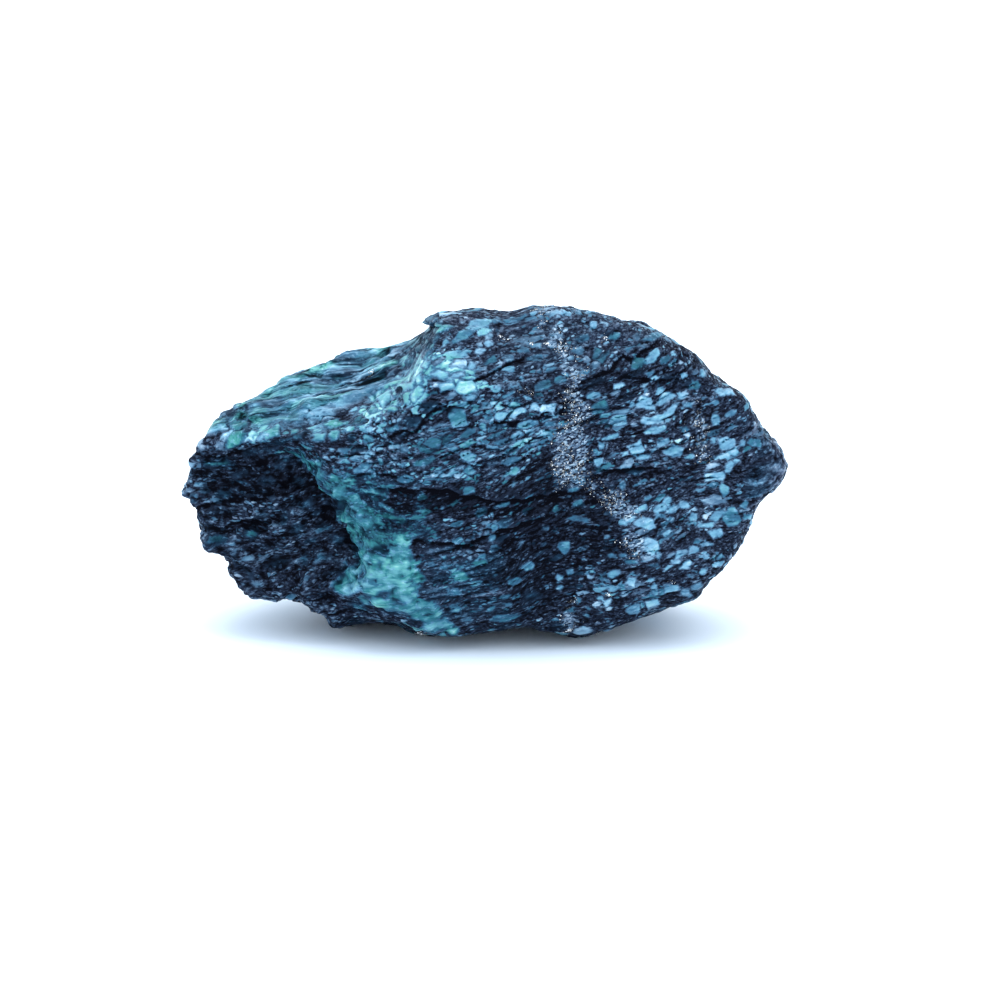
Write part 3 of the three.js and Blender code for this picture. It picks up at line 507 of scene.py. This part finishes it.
def flakes(points, size, seed, tilted=1.6, sunk=-0.6, edge=0.22):
    """Angular flakes about size across, with heights and tilts of their own and sunk edges. About -1 to 1."""
    place = points / size
    base = np.floor(place)
    nearest = np.full(len(points), np.inf)
    second = np.full(len(points), np.inf)
    height = np.zeros(len(points))
    for shift in product((-1, 0, 1), repeat=3):
        cell = base + shift
        offset = place - cell - np.stack([scattered(cell, seed + i) for i in range(3)], axis=1)
        distance = np.linalg.norm(offset, axis=1)
        closer = distance < nearest
        second = np.where(closer, nearest, np.minimum(second, distance))
        nearest = np.where(closer, distance, nearest)
        tilt = np.stack([scattered(cell, seed + i) for i in (3, 4, 5)], axis=1) - 0.5
        raised = 2 * scattered(cell, seed + 6) - 1 + tilted * np.sum(tilt * offset, axis=1)
        height = np.where(closer, raised, height)
    return lerp(sunk, height, smooth(0, edge, second - nearest))


def foliation_axes():
    """Directions along the foliation, across it and through it."""
    through = unit(FOLIATION)
    along = unit(np.array([1.0, 0, 0]) - through[0] * through)
    return np.stack([along, np.cross(through, along), through])


def view_axes():
    """Directions to the picture's right, up in it and into it."""
    return np.array([
        [1, 0, 0],
        [0, math.sin(VIEW_UP), math.cos(VIEW_UP)],
        [0, math.cos(VIEW_UP), -math.sin(VIEW_UP)],
    ])


def in_picture(points):
    """Where points appear in the picture's plane: (across, up)."""
    across, up, away = ((points - AIM) @ view_axes().T).T
    return np.stack([across, up], axis=1) * (VIEW_DISTANCE / (VIEW_DISTANCE + away))[:, None]


def segment_distance(place, a, b):
    """Distance from places to the line from a to b, and how far along it is nearest, from 0 to 1."""
    a, b = np.array(a), np.array(b)
    along = b - a
    t = np.clip((place - a) @ along / max(along @ along, 1e-9), 0, 1)
    return np.linalg.norm(place - a - t[:, None] * along, axis=1), t


def inside_outline(place, outline):
    """How far places lie inside an outline; negative outside it."""
    nearest = np.full(len(place), np.inf)
    inside = np.zeros(len(place), bool)
    x, y = place.T
    for (ax, ay), (bx, by) in zip(outline, outline[1:] + outline[:1]):
        nearest = np.minimum(nearest, segment_distance(place, (ax, ay), (bx, by))[0])
        if ay != by:
            inside ^= ((ay > y) != (by > y)) & (x < ax + (y - ay) * (bx - ax) / (by - ay))
    return np.where(inside, nearest, -nearest)


def inside_band(place, band):
    """How far places lie inside a band of changing width; negative outside it."""
    best = np.full(len(place), -np.inf)
    for (ax, ay, aw), (bx, by, bw) in zip(band, band[1:] or band):
        distance, t = segment_distance(place, (ax, ay), (bx, by))
        best = np.maximum(best, lerp(aw, bw, t) - distance)
    return best


def fetch(items, field, width=3, kind=float):
    """One field of all items, a row for each."""
    values = np.empty(len(items) * width, kind)
    items.foreach_get(field, values)
    return values.reshape(-1, width)


def points_of(mesh):
    """Where the mesh's vertices are, in mm."""
    return fetch(mesh.vertices, "co") / MM


def normals_of(mesh):
    return fetch(mesh.vertex_normals, "vector")


def move(mesh, points):
    """Puts the mesh's vertices at points, in mm."""
    mesh.vertices.foreach_set("co", (points * MM).ravel())
    mesh.update()


def keep(mesh, name, values):
    """Stores one value for each vertex under a name that materials read."""
    kind, field = ("FLOAT", "value") if values.ndim == 1 else ("FLOAT_VECTOR", "vector")
    mesh.attributes.new(name, kind, "POINT").data.foreach_set(field, values.astype(np.float32).ravel())


def edit(mesh, change):
    """Changes a mesh in its editable form."""
    editable = bmesh.new()
    editable.from_mesh(mesh)
    change(editable)
    editable.to_mesh(mesh)
    editable.free()


def add_piece(name, data):
    piece = bpy.data.objects.new(name, data)
    bpy.context.scene.collection.objects.link(piece)
    return piece


def apply_modifiers(piece):
    old = piece.data
    depsgraph = bpy.context.evaluated_depsgraph_get()
    piece.data = bpy.data.meshes.new_from_object(
        piece.evaluated_get(depsgraph), preserve_all_data_layers=True, depsgraph=depsgraph
    )
    piece.modifiers.clear()
    bpy.data.meshes.remove(old)


def bare_copy():
    """A copy of the solid's mesh, its facets joined, without materials and stored values."""
    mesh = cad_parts[NODE].data.copy()
    edit(mesh, lambda form: bmesh.ops.remove_doubles(form, verts=form.verts, dist=WELD * MM))
    mesh.materials.clear()
    for name in [a.name for a in mesh.attributes if not a.is_required]:
        if mesh.attributes.get(name):
            mesh.attributes.remove(mesh.attributes[name])
    return mesh


def start_surface():
    """The solid's surface, its facets smoothed, as a fine even grid."""
    piece = add_piece("stone_surface", bare_copy())
    smoothing = piece.modifiers.new("smoothing", "SUBSURF")
    smoothing.levels = smoothing.render_levels = 1
    grid = piece.modifiers.new("grid", "REMESH")
    grid.mode = "VOXEL"
    grid.voxel_size = GRID * MM
    apply_modifiers(piece)
    return piece


def zone_of(points, inside, edge, seed):
    """How much each point belongs to an area, from 0 to 1, with a ragged edge."""
    soft, ragged, teeth = edge
    return smooth(-soft, soft, inside + ragged * noise(points, teeth, 40 + seed))


def find_zones(points, normals):
    """How much each point belongs to each area of the stone, from 0 to 1."""
    place = in_picture(points)
    away = normals @ view_axes()[2]
    front = smooth(*FRONT_TURN, -away)
    zones = {"front": front, "back": smooth(*BACK_TURN, away)}
    for seed, (name, outline) in enumerate(OUTLINES.items()):
        zones[name] = front * zone_of(points, inside_outline(place, outline), OUTLINE_EDGE, seed)
    for seed, (name, lines) in enumerate(BANDS.items()):
        inside = np.max([inside_band(place, line) for line in lines], axis=0)
        zones[name] = front * zone_of(points, inside, BAND_EDGE, 20 + seed)
    zones["slope"] *= smooth(*SIDE_TURN, normals[:, 2])
    on_wall = smooth(-WALL_SOFT, WALL_SOFT, inside_outline(place, WALL))
    zones["wall"] = smooth(*SIDE_TURN, -normals[:, 0]) * on_wall * (1 - zones["back"])
    add_hidden_zones(zones, points)
    return zones


def add_hidden_zones(zones, points):
    """Lays patches of the front's areas where the photo shows nothing."""
    moved = points + noises(points, *HIDDEN_WANDER, (64, 65, 66))
    layered = grain_places(moved) * HIDDEN_STRETCH
    for seed, name in enumerate(HIDDEN):
        patches = two_noises(layered, HIDDEN_SIZES, (60 + seed, 67 + seed))
        hidden = (1 - zones["front"]) * smooth(*HIDDEN_EDGE, patches)
        zones[name] = np.maximum(zones[name], hidden)


def grain_places(points):
    """Places along, across and through the gently folded foliation, evened out by the grains' stretch."""
    folded = points + noises(points, *FOLD, (1, 2, 3))
    return folded @ foliation_axes().T / GRAIN_STRETCH


def sheets(grain, spacing, seed):
    """Split sheets: each stands out at its lower edge and slopes back above it. About -0.5 to 0.5."""
    level = grain[:, 2] / spacing + SHEET_WANDER * noise(grain * SHEET_STRETCH, spacing, seed)
    t = level - np.floor(level)
    return smooth(0, SHEET_LIP, t) * (1 - t) - SHEET_MEAN


def ledges(place, points):
    """Steps along the ledges: how far they stand out or sink, in mm, and how close below one points lie."""
    ragged = place + noises(points, *LEDGE_WANDER, (70, 71))
    height = np.zeros(len(place))
    under = np.zeros(len(place))
    for step, line in LEDGES:
        nearest = np.full(len(place), np.inf)
        side = np.zeros(len(place))
        for a, b in zip(line, line[1:]):
            distance, _ = segment_distance(ragged, a, b)
            across, up = (ragged - a).T
            turn = np.sign((b[0] - a[0]) * up - (b[1] - a[1]) * across)
            side = np.where(distance < nearest, turn, side)
            nearest = np.minimum(nearest, distance)
        above = smooth(-LEDGE_EDGE, LEDGE_EDGE, side * nearest)
        below = (1 - above) * np.exp(-nearest / LEDGE_BELOW)
        height += step * (LEDGE_RISE * above * np.exp(-nearest / LEDGE_ABOVE) - LEDGE_SINK * below)
        under = np.maximum(under, below)
    return height, under


def swells(place):
    """How far the swells stand out at each place, in mm."""
    height = np.zeros(len(place))
    for across, up, reach, most in SWELLS:
        height += most * np.exp(-np.sum((place - (across, up)) ** 2, axis=1) / reach**2)
    return height


def push_lips(points):
    """Pushes the lips sideways, each with a sharp lower edge."""
    across, up = (in_picture(points) + noises(points, *LIP_WANDER, (72, 73))).T
    moved = points.copy()
    for lip_across, lip_up, reach, above, below in LIPS:
        near = np.exp(-(((across - lip_across) / reach) ** 2))
        over = smooth(-LIP_EDGE, LIP_EDGE, up - lip_up)
        undercut = below * np.exp(-(((up - lip_up) / LIP_BELOW) ** 2))
        moved[:, 0] += near * lerp(undercut, above, over)
    return moved


def relief(points, zones, grain):
    """How far each point stands out, in mm: flakes, streaks, lumps, clods and split sheets, by area."""
    crust = np.maximum(zones["ridge"], zones["pale"])
    rough = np.maximum(CREST_ROUGH * zones["crest"], crust)
    shares = {**zones, "all": np.ones(len(points)), "crust": crust, "rough": rough}
    sheet_patches = smooth(*SHEET_SHOW, noise(points, SHEET_PATCHES, 33))
    shapes = {
        "coarse": flakes(grain * COARSE_STRETCH, COARSE_SIZE, 10),
        "fine": flakes(grain * FINE_STRETCH, FINE_SIZE, 20),
        "streaks": two_noises(grain * STREAK_STRETCH, STREAK_SIZES, (30, 31)),
        "lumps": noise(points, LUMP_SIZE, 32),
        "clods": two_noises(points, CLOD_SIZES, (35, 36)),
        "sheets": sheet_patches * sheets(grain, SHEET_SPACING, 34),
        "slabs": sheets(grain, SLAB_SPACING, 37),
    }
    height = np.zeros(len(points))
    for name, shape in shapes.items():
        height += shape * sum(most * shares[area] for area, most in RELIEF[name].items())
    return height * (1 - WALL_CALM * zones["wall"])


def convexity(mesh, spread=2):
    """How much each vertex stands out from its neighbours, from -1 in a pit to 1 on an edge."""
    points = points_of(mesh)
    a, b = fetch(mesh.edges, "vertices", 2, np.int64).T
    count = np.bincount(a, minlength=len(points)) + np.bincount(b, minlength=len(points))

    def average(values):
        total = np.bincount(a, values[b], len(points)) + np.bincount(b, values[a], len(points))
        return total / np.maximum(count, 1)

    mean = points
    for _ in range(spread):
        mean = np.stack([average(mean[:, i]) for i in range(3)], axis=1)
    out = np.sum((points - mean) * normals_of(mesh), axis=1)
    return np.clip(out / (FULLY_CONVEX * GRID * spread), -1, 1)


def shape_surface(piece):
    """Roughens the grid and stores what the material needs to know about each point."""
    mesh = piece.data
    points, normals = points_of(mesh), normals_of(mesh)
    place = in_picture(points)
    zones = find_zones(points, normals)
    grain = grain_places(points)
    placed = placed_grains(place, points, zones["front"])
    step, under = ledges(place, points)
    height = relief(points, zones, grain) + placed["height"] + zones["front"] * step
    height += swells(place) - RELIEF_MEAN
    points = push_lips(points + normals * height[:, None])
    move(mesh, points)
    settle(piece)
    keep(mesh, "grain", grain)
    keep(mesh, "convex", convexity(mesh))
    keep(mesh, "placed", placed["depth"])
    for name in ("tone", "green", "seam"):
        keep(mesh, "placed_" + name, placed[name])
    store_looks(mesh, zones, grain, placed["depth"], zones["front"] * under)
    keep(mesh, "vein", zones["vein"])
    keep(mesh, "glint", glints(place, points, zones))
    mesh.shade_smooth()


def glints(place, points, zones):
    """How thickly metallic and clear grains are strewn: in clumps along the veins, and at the glints."""
    thickness = zones["vein"] * smooth(*CLUMP_EDGE, noise(points, CLUMP_SIZE, 80))
    for across, up in GLINTS:
        away = np.sum((place - (across, up)) ** 2, axis=1)
        glint = GLINT["thickness"] * zones["front"] * np.exp(-away / GLINT["spread"])
        thickness = np.maximum(thickness, glint)
    return thickness


def placed_outline(number, length, width, shift=0.3, shortest=0.95, longest=1.3):
    """An uneven outline of four to six corners, its own for each number."""
    rng = np.random.default_rng(number)
    corners = 4 + number % 3
    angles = (np.arange(corners) + 0.5 + rng.uniform(-shift, shift, corners)) * 2 * np.pi / corners
    radii = rng.uniform(shortest, longest, corners)
    return list(zip(length / 2 * radii * np.cos(angles), width / 2 * radii * np.sin(angles)))


def placed_grains(place, points, front):
    """How deep points lie in the placed grains, in mm and negative outside, and what the nearest is like."""
    place = place + noises(points, *PLACED_WANDER, (90, 91))
    found = {"depth": np.full(len(place), -1.0)}
    for name in ("tone", "green", "height", "seam"):
        found[name] = np.zeros(len(place))
    grains = [(group, grain) for group in PLACED for grain in group[-1]]
    for number, ((height, sharp, seam, _), grain) in enumerate(grains):
        across, up, length, width, turn, tone, green = grain
        near = np.flatnonzero(np.linalg.norm(place - (across, up), axis=1) < max(length, width) + 1)
        c, s = math.cos(math.radians(turn)), math.sin(math.radians(turn))
        local = (place[near] - (across, up)) @ np.array([[c, -s], [s, c]])
        depth = sharp * inside_outline(local, placed_outline(number, length, width))
        over = (depth > 0) | (depth > found["depth"][near])
        values = {"tone": tone / 100, "green": green / 100, "height": height, "seam": seam}
        for name, value in {**values, "depth": depth[over]}.items():
            found[name][near[over]] = value
    found["depth"] = np.where(front > 0.1, found["depth"], -1)
    found["height"] *= smooth(*PLACED_SHOULDER, found["depth"])
    return found


def store_looks(mesh, zones, grain, placed, under):
    """Lays the areas' looks over one another, darkens them as painted shade close below the ledges, and
    stores each share.
    """
    looks = np.tile(np.array(BODY_LOOK) / 100, (len(grain), 1))
    for name, look in LOOKS.items():
        looks = lerp(looks, np.array(look) / 100, zones[name][:, None])
    layered = grain * BANDING_STRETCH
    banding = two_noises(layered, BANDING_SIZES, (50, 51), BANDING["second"])
    looks[:, :3] *= np.clip(1 + BANDING["strength"] * banding, *BANDING["limits"])[:, None]
    looks[:, :3] *= smooth(*PLACED_GAP, placed)[:, None]
    # Painted shade close below the ledges.
    looks *= (1 - LEDGE_PAINTED_SHADE * smooth(*LEDGE_UNDER, under))[:, None]
    for name, values in zip(LOOK_NAMES, looks.T):
        keep(mesh, name, values)


class Graph:
    """Adds nodes to a shader or geometry tree, with values or other nodes' outputs as their inputs."""

    def __init__(self, tree):
        self.tree = tree

    def fill(self, node, inputs):
        for key, value in inputs.items():
            if isinstance(value, bpy.types.NodeSocket):
                self.tree.links.new(value, node.inputs[key])
            else:
                node.inputs[key].default_value = value

    def node(self, kind, inputs, **settings):
        made = self.tree.nodes.new(kind)
        for name, value in settings.items():
            setattr(made, name, value)
        self.fill(made, inputs)
        return made

    def read(self, name, vector=False):
        """A stored value of the mesh."""
        if self.tree.type == "GEOMETRY":
            kind = "FLOAT_VECTOR" if vector else "FLOAT"
            return self.node("GeometryNodeInputNamedAttribute", {"Name": name}, data_type=kind).outputs[0]
        made = self.node("ShaderNodeAttribute", {}, attribute_name=name)
        return made.outputs["Vector" if vector else "Fac"]

    def math(self, operation, a, b=0.0, c=0.0):
        return self.node("ShaderNodeMath", {0: a, 1: b, 2: c}, operation=operation).outputs[0]

    def times(self, a, b, plus=None):
        """a times b, and plus."""
        return self.math("MULTIPLY", a, b) if plus is None else self.math("MULTIPLY_ADD", a, b, plus)

    def spread(self, number, width, middle=0.0):
        """The middle value, moved up or down by a random number from 0 to 1."""
        return self.math("ADD", self.times(number, width, -width / 2), middle)

    def vector(self, operation, a, b=(0, 0, 0), c=(0, 0, 0)):
        return self.node("ShaderNodeVectorMath", {0: a, 1: b, 2: c}, operation=operation).outputs[0]

    def parts(self, vector):
        return self.node("ShaderNodeSeparateXYZ", {0: vector}).outputs

    def ease(self, value, low, high):
        """0 below low, 1 above high, and an S curve between."""
        inputs = {"Value": value, "From Min": low, "From Max": high}
        return self.node("ShaderNodeMapRange", inputs, interpolation_type="SMOOTHSTEP").outputs[0]

    def noise(self, place, size, detail, rough):
        """Noise with lumps about size across: a number from 0 to 1, and a colour with three of them."""
        inputs = {"Vector": place, "Scale": 1 / size, "Detail": detail, "Roughness": rough}
        return self.node("ShaderNodeTexNoise", inputs).outputs

    def cells(self, place, size, feature="F1"):
        inputs = {"Vector": place, "Scale": 1 / size}
        return self.node("ShaderNodeTexVoronoi", inputs, feature=feature).outputs

    def mix(self, share, a, b):
        return self.node("ShaderNodeMix", {0: share, 2: a, 3: b}).outputs[0]

    def mix_colour(self, share, a, b):
        return self.node("ShaderNodeMix", {0: share, 6: a, 7: b}, data_type="RGBA").outputs[2]

    def ramp(self, value, stops):
        made = self.node("ShaderNodeValToRGB", {0: value})
        elements = made.color_ramp.elements
        while len(elements) < len(stops):
            elements.new(1.0)
        for element, (place, colour) in zip(elements, stops):
            element.position = place
            element.color = linear(colour)
        return made.outputs[0]


def linear(colour):
    """A colour as shaders take it, from its screen colour in hexadecimal."""
    parts = [int(colour[i:i + 2], 16) / 255 for i in (0, 2, 4)]
    return (*[p / 12.92 if p <= 0.04045 else ((p + 0.055) / 1.055) ** 2.4 for p in parts], 1)


def grain_layer(graph, grain, name):
    """One layer's grains: how much of a grain is at each point, and two random numbers of its own."""
    layer = GRAIN_LAYERS[name]
    wander = graph.noise(grain, RAGGED["size"], 2, 0.6)
    place = graph.vector("MULTIPLY_ADD", wander["Color"], (RAGGED["reach"],) * 3, grain)
    place = graph.vector("ADD", place, (layer["shift"],) * 3)
    cell = graph.cells(place, layer["size"])
    edge = graph.cells(place, layer["size"], "DISTANCE_TO_EDGE")["Distance"]
    chance, first, second = graph.parts(cell["Color"])
    present = graph.math("LESS_THAN", chance, graph.read(name))
    reach = graph.times(second, ANGULAR["reach"], layer["reach"])
    inner = graph.math("SUBTRACT", reach, ANGULAR["soft"])
    rounded = graph.math("SUBTRACT", 1.0, graph.ease(cell["Distance"], inner, reach))
    body = graph.ease(graph.spread(wander[0], SEAM["change"], edge), 0.0, layer["seam"] * SEAM["soft"])
    return graph.times(present, graph.times(body, rounded)), first, second


def raise_grains(piece):
    """Lets the large and medium grains stand out a little, just where the material shows them."""
    tree = bpy.data.node_groups.new("raised_grains", "GeometryNodeTree")
    for way in ("INPUT", "OUTPUT"):
        tree.interface.new_socket("Geometry", in_out=way, socket_type="NodeSocketGeometry")
    graph = Graph(tree)
    grain = graph.read("grain", vector=True)
    height = 0.0
    for name in ("medium", "large"):
        share = grain_layer(graph, grain, name)[0]
        height = graph.times(share, GRAIN_LAYERS[name]["height"] * MM, height)
    normal = graph.node("GeometryNodeInputNormal", {}).outputs[0]
    offset = graph.node("ShaderNodeVectorMath", {0: normal, "Scale": height}, operation="SCALE").outputs[0]
    start = graph.node("NodeGroupInput", {}).outputs[0]
    moved = graph.node("GeometryNodeSetPosition", {"Geometry": start, "Offset": offset}).outputs[0]
    graph.node("NodeGroupOutput", {0: moved})
    piece.modifiers.new("raised_grains", "NODES").node_group = tree
    apply_modifiers(piece)


def make_textures(graph, grain):
    """The paint's noises, by name, each a number from 0 to 1 at each point."""
    made = {}
    for name, (stretch, size, detail, rough) in TEXTURES.items():
        place = graph.vector("MULTIPLY", grain, stretch) if stretch else grain
        made[name] = graph.noise(place, size, detail, rough)[0]
    return made


def scattered_layers(graph, grain, tone, green, textures):
    """The scattered grains, the streaks and the crust over them: each layer's share, tone and hue."""
    mottle, clods, streaks = (textures[name] for name in ("mottle", "clods", "streaks"))
    drifting = graph.spread(textures["drift"], 1.0, tone)
    layers = []
    for name in ("small", "medium", "large"):
        share, first, second = grain_layer(graph, grain, name)
        layers.append((share, graph.spread(first, 0.4, drifting), graph.spread(second, 0.9, green)))
    streak_hue = graph.spread(textures["sweeps"], 6.0, green)
    layers.append((graph.read("streak"), graph.spread(streaks, 3.0, tone), streak_hue))
    crust = graph.times(clods, 0.6, graph.times(mottle, 0.5, graph.read("cover")))
    crust = graph.ease(crust, 0.65, 1.05)
    layers.append((crust, graph.spread(clods, 1.2, tone), graph.spread(streaks, 0.8, green)))
    return layers


def placed_layers(graph, matrix, textures):
    """The seams round the placed grains, and the grains: each layer's share, tone and hue."""
    clods = textures["clods"]
    depth = graph.spread(textures["mottle"], 0.18, graph.read("placed"))
    seam = graph.times(graph.ease(depth, -0.08, 0.0), graph.read("placed_seam"))
    tone = graph.times(graph.read("placed_tone"), 0.93)
    tone = graph.spread(clods, 0.4, graph.spread(textures["streaks"], 0.4, tone))
    hue = graph.spread(clods, 1.0, graph.times(graph.read("placed_green"), 0.6))
    return [(seam, matrix, MATRIX_HUE), (graph.ease(depth, -0.12, 0.18), tone, hue)]


def speck_layers(graph, tone, mottle, speck):
    """The veins' specks, and single pale specks that are partly the stone's own and partly painted glints:
    each layer's share, tone and hue.
    """
    number, own_tone, _ = graph.parts(speck["Color"])
    vein = graph.ease(graph.times(mottle, 1.4, graph.read("vein")), 1.0, 1.9)
    # Single pale specks, partly the stone's own and partly painted glints.
    flecks_and_glints = graph.math("LESS_THAN", number, graph.times(tone, 0.12, 0.06))
    return [
        (graph.times(vein, 0.75), own_tone, VEIN_HUE),
        (graph.times(flecks_and_glints, 0.3), graph.spread(own_tone, 0.4, 0.75), FLECK_AND_GLINT_HUE),
    ]


def wear_highlight_and_pit_shade(graph, value, mottle):
    """The tone with edges paler, as wear and painted highlight, and pits darker as painted shade, less so
    under a crust.
    """
    convex = graph.read("convex")
    worn_and_highlit = graph.math("ADD", value, graph.times(convex, 0.16, graph.spread(mottle, 0.28)))
    pit = graph.ease(graph.times(convex, -1.0), 0.1, 0.9)
    darker = graph.times(graph.read("cover"), 0.5, -0.85)
    return graph.times(worn_and_highlit, graph.times(pit, darker, 1.0))


def new_material(name):
    """A material with its graph and its shader."""
    material = bpy.data.materials.new(name)
    material.use_nodes = True
    return material, Graph(material.node_tree), material.node_tree.nodes["Principled BSDF"]


def stone_material():
    """Each point gets a tone from dark to pale and a hue from grey over blue to green, layer by layer."""
    material, graph, shader = new_material("variscite")
    grain = graph.read("grain", vector=True)
    tone, green = graph.read("tone"), graph.read("green")
    textures = make_textures(graph, grain)
    mottle = textures["mottle"]
    speck = graph.cells(grain, SPECK_SIZE)
    matrix = graph.ease(graph.times(tone, 0.45, textures["fibres"]), 0.55, 1.0)
    matrix = graph.times(matrix, 0.40, -0.03)
    layers = scattered_layers(graph, grain, tone, green, textures)
    layers += placed_layers(graph, matrix, textures) + speck_layers(graph, tone, mottle, speck)
    value, hue = matrix, MATRIX_HUE
    for share, layer_value, layer_hue in layers:
        value = graph.mix(share, value, layer_value)
        hue = graph.mix(share, hue, layer_hue)
    # Paler edges are partly wear and partly painted highlight; darker pits are painted shade.
    value = wear_highlight_and_pit_shade(graph, value, mottle)
    colour = graph.mix_colour(hue, graph.ramp(value, BLUES), graph.ramp(value, GREENS))
    colour = graph.mix_colour(graph.times(hue, -1.0), colour, graph.ramp(value, GREYS))
    height = graph.times(mottle, 0.10, graph.times(speck["Distance"], -0.06))
    bump = graph.node("ShaderNodeBump", {"Height": height, "Distance": MM, "Strength": BUMP_STRENGTH})
    paleness = graph.ease(value, 0.1, 0.6)
    graph.fill(shader, {
        "Base Color": colour,
        "Normal": bump.outputs[0],
        "Roughness": graph.times(mottle, 0.3, graph.times(paleness, -0.35, 0.6)),
        "Specular IOR Level": graph.times(paleness, 0.25, 0.02),
        "Specular Tint": GLOSS_TINT,
    })
    return material


def metal_material():
    material, graph, shader = new_material("metallic_grains")
    graph.fill(shader, {"Base Color": graph.ramp(graph.read("tone"), METALS), **METAL})
    return material


def strew(mesh, count, rng):
    """Random points of the surface, densest where grains are strewn thickest: places, normals, thickness."""
    mesh.calc_loop_triangles()
    corners = fetch(mesh.loop_triangles, "vertices", 3, np.int64)
    points = points_of(mesh)
    thickness = fetch(mesh.attributes["glint"].data, "value", 1)[:, 0]
    a, b, c = (points[corners[:, i]] for i in range(3))
    area = np.linalg.norm(np.cross(b - a, c - a), axis=1) / 2
    weight = area * thickness[corners].mean(axis=1)
    chosen = corners[rng.choice(len(corners), count, p=weight / weight.sum())]
    share = rng.dirichlet((1, 1, 1), count)
    places = np.einsum("ni,nij->nj", share, points[chosen])
    return places, normals_of(mesh)[chosen].mean(axis=1), thickness[chosen].mean(axis=1)


def make_metal_grains(stone):
    """Tiny metallic crystals along the veins, each an uneven octahedron partly sunk into the surface."""
    rng = np.random.default_rng(METAL_GRAINS["seed"])
    count = METAL_GRAINS["count"]
    places, normals, thickness = strew(stone.data, count, rng)
    size = lerp(METAL_GRAINS["smallest"], METAL_GRAINS["largest"], rng.random(count) ** 2)
    axes = np.linalg.qr(rng.normal(size=(count, 3, 3)))[0]
    axes = axes * rng.uniform(*METAL_GRAINS["uneven"], (count, 3, 1))
    tips = np.concatenate([axes, -axes], axis=1) * size[:, None, None]
    tips += (places + normals * (METAL_GRAINS["rise"] * size)[:, None])[:, None]
    tips[:, :, 2] = np.maximum(tips[:, :, 2], 0)
    faces = np.array(OCTAHEDRON) + tips.shape[1] * np.arange(count)[:, None, None]
    mesh = bpy.data.meshes.new("metallic_grains")
    mesh.from_pydata((tips * MM).reshape(-1, 3).tolist(), [], faces.reshape(-1, 3).tolist())
    edit(mesh, lambda form: bmesh.ops.recalc_face_normals(form, faces=form.faces))
    tones = np.where(thickness > GLINT["clear_from"], 1, rng.random(count))
    keep(mesh, "tone", np.repeat(tones, tips.shape[1]))
    mesh.materials.append(metal_material())
    return add_piece("metallic_grains", mesh)


def settle(piece):
    """Keeps the underside flat on the floor."""
    points = points_of(piece.data)
    points[:, 2] = np.maximum(points[:, 2], 0)
    move(piece.data, points)


def thin_out(piece):
    """Leaves the fewest triangles that keep the relief. The grid has four corners to a face."""
    thinning = piece.modifiers.new("thinning", "DECIMATE")
    thinning.ratio = MOST_TRIANGLES / (2 * len(piece.data.polygons))
    apply_modifiers(piece)
    piece.data.shade_smooth()


def make_camera():
    data = bpy.data.cameras.new("camera")
    data.sensor_width = SENSOR_WIDTH
    data.lens = SENSOR_WIDTH * VIEW_DISTANCE / PICTURE_WIDTH
    data.clip_start = NEAREST * MM
    data.clip_end = FARTHEST * MM
    camera = add_piece("camera", data)
    away = view_axes()[2]
    camera.location = Vector((AIM - VIEW_DISTANCE * away) * MM)
    camera.rotation_euler = Vector(away).to_track_quat("-Z", "Y").to_euler()
    bpy.context.scene.camera = camera


def make_light():
    scene = bpy.context.scene
    scene.view_settings.view_transform = "Standard"
    world = bpy.data.worlds.new("tent")
    world.use_nodes = True
    Graph(world.node_tree).fill(world.node_tree.nodes["Background"], TENT)
    scene.world = world
    data = bpy.data.lights.new("key", "SUN")
    for name, value in KEY.items():
        setattr(data, name, value)
    add_piece("key", data).rotation_euler = KEY_TURN


def make_floor():
    reach = FLOOR_REACH * MM
    corners = [(-reach, -reach, 0), (reach, -reach, 0), (reach, reach, 0), (-reach, reach, 0)]
    mesh = bpy.data.meshes.new("floor")
    mesh.from_pydata(corners, [], [(0, 1, 2, 3)])
    floor = add_piece("floor", mesh)
    material, graph, shader = new_material("floor")
    graph.fill(shader, FLOOR)
    mesh.materials.append(material)


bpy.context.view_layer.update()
stone = start_surface()
shape_surface(stone)
raise_grains(stone)
thin_out(stone)
settle(stone)
stone.data.materials.append(stone_material())
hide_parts(NODE)
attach(stone, BODY)
metal = make_metal_grains(stone)
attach(metal, BODY)
make_camera()
make_light()
make_floor()
